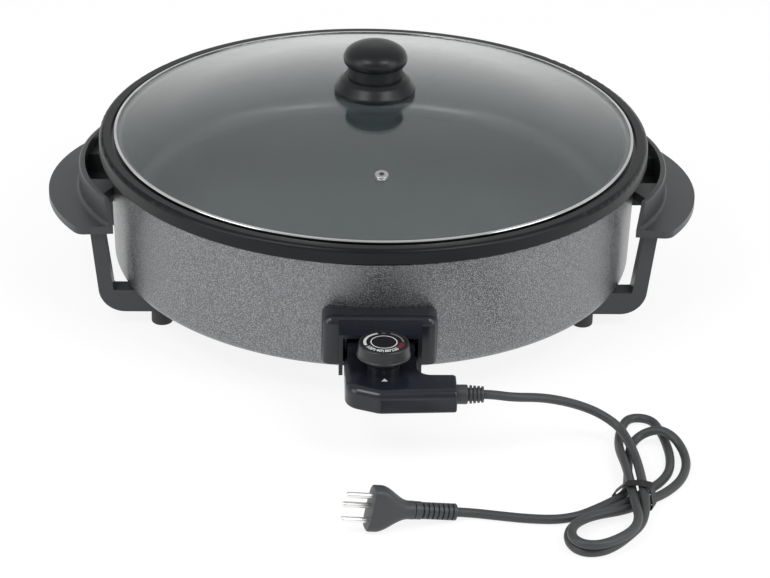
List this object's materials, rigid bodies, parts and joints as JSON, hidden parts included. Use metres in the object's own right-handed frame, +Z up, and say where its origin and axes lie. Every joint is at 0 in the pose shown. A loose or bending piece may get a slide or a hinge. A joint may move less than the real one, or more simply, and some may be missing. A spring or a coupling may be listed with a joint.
{
  "type": "electric pizza pan",
  "caption": "Deep round electric pizza and party pan with lift-off domed glass lid, side handles on J-shaped legs, plug-in dial thermostat and tied supply cord.",
  "frame": {"origin": "on the tabletop under the pan's axis, midway between the feet", "axes": "+X to the right-hand handle, +Y to the back, away from the thermostat, +Z up"},
  "size_m": [0.4992, 0.6161, 0.2034],
  "materials": {
    "nonstick": "dark grey satin non-stick coating",
    "hammered_coat": "hammered dark grey enamel",
    "black_plastic": "satin black heat-resistant plastic",
    "rim_plastic": "satin black",
    "dial_plastic": "semi-gloss black",
    "dial_face": "printed satin disc",
    "steel": "plain zinc-plated steel",
    "steel_band": "polished stainless steel",
    "tinned_pins": "nickel-plated",
    "brass_contacts": "plain",
    "ceramic": "glazed ceramic",
    "lid_glass": "clear tempered glass",
    "foot_rubber": "matt",
    "cord_pvc": "satin soft sheath",
    "base_steel": "galvanised sheet"
  },
  "bodies": {
    "pan": {"cooking_pan": "nonstick", "hammered_shell": "hammered_coat", "rim_collar": "rim_plastic", "base_cover": "base_steel", "cover_screws": "steel", "heating_element": "steel", "element_clips": "steel", "terminal_pins": "tinned_pins", "sensor_well": "steel", "inlet_insulator": "ceramic", "earth_contact": "steel", "socket_guard": "black_plastic", "guard_screws": "steel", "handle_right": "black_plastic", "handle_left": "black_plastic", "handle_screws": "steel", "leg_front_right": "black_plastic", "leg_front_left": "black_plastic", "leg_rear_right": "black_plastic", "leg_rear_left": "black_plastic", "foot_front_right": "foot_rubber", "foot_front_left": "foot_rubber", "foot_rear_right": "foot_rubber", "foot_rear_left": "foot_rubber", "leg_screws": "steel", "leg_nuts": "steel"},
    "lid": {"lid_glass": "lid_glass", "lid_ring": "steel_band", "vent_grommet": "steel", "knob_gasket": "foot_rubber", "knob_neck": "black_plastic", "knob_cap": "black_plastic", "knob_screw": "steel", "knob_washer": "steel"},
    "thermostat": {"controller_cover": "black_plastic", "controller_base": "black_plastic", "housing_screws": "steel", "probe_rod": "steel", "contact_sockets": "brass_contacts", "contact_carrier": "ceramic", "switch_frame": "steel", "switch_blades": "brass_contacts", "cord_clamp": "steel", "strain_relief": "cord_pvc", "dial_collar": "black_plastic", "cord_lead": "cord_pvc", "cord_bundle": "cord_pvc", "cord_tail": "cord_pvc", "cord_tie": "black_plastic", "plug_body": "cord_pvc", "plug_pins": "tinned_pins", "plug_relief": "cord_pvc"},
    "dial": {"dial_knob": "dial_plastic", "dial_plate": "dial_face", "dial_spindle": "steel"}
  },
  "joints": [
    {"name": "lid_lift", "type": "slide", "parent": "pan", "child": "lid", "axis": [0, 0, 1], "range_m": [0, 0.12]},
    {"name": "thermostat_pull", "type": "slide", "parent": "pan", "child": "thermostat", "axis": [0, -1, 0], "range_m": [0, 0.12]},
    {"name": "dial_turn", "type": "hinge", "parent": "thermostat", "child": "dial", "pos_m": [0.0015, -0.253, 0.077], "axis": [0, 0, 1], "range_deg": [-50, 220]}
  ]
}
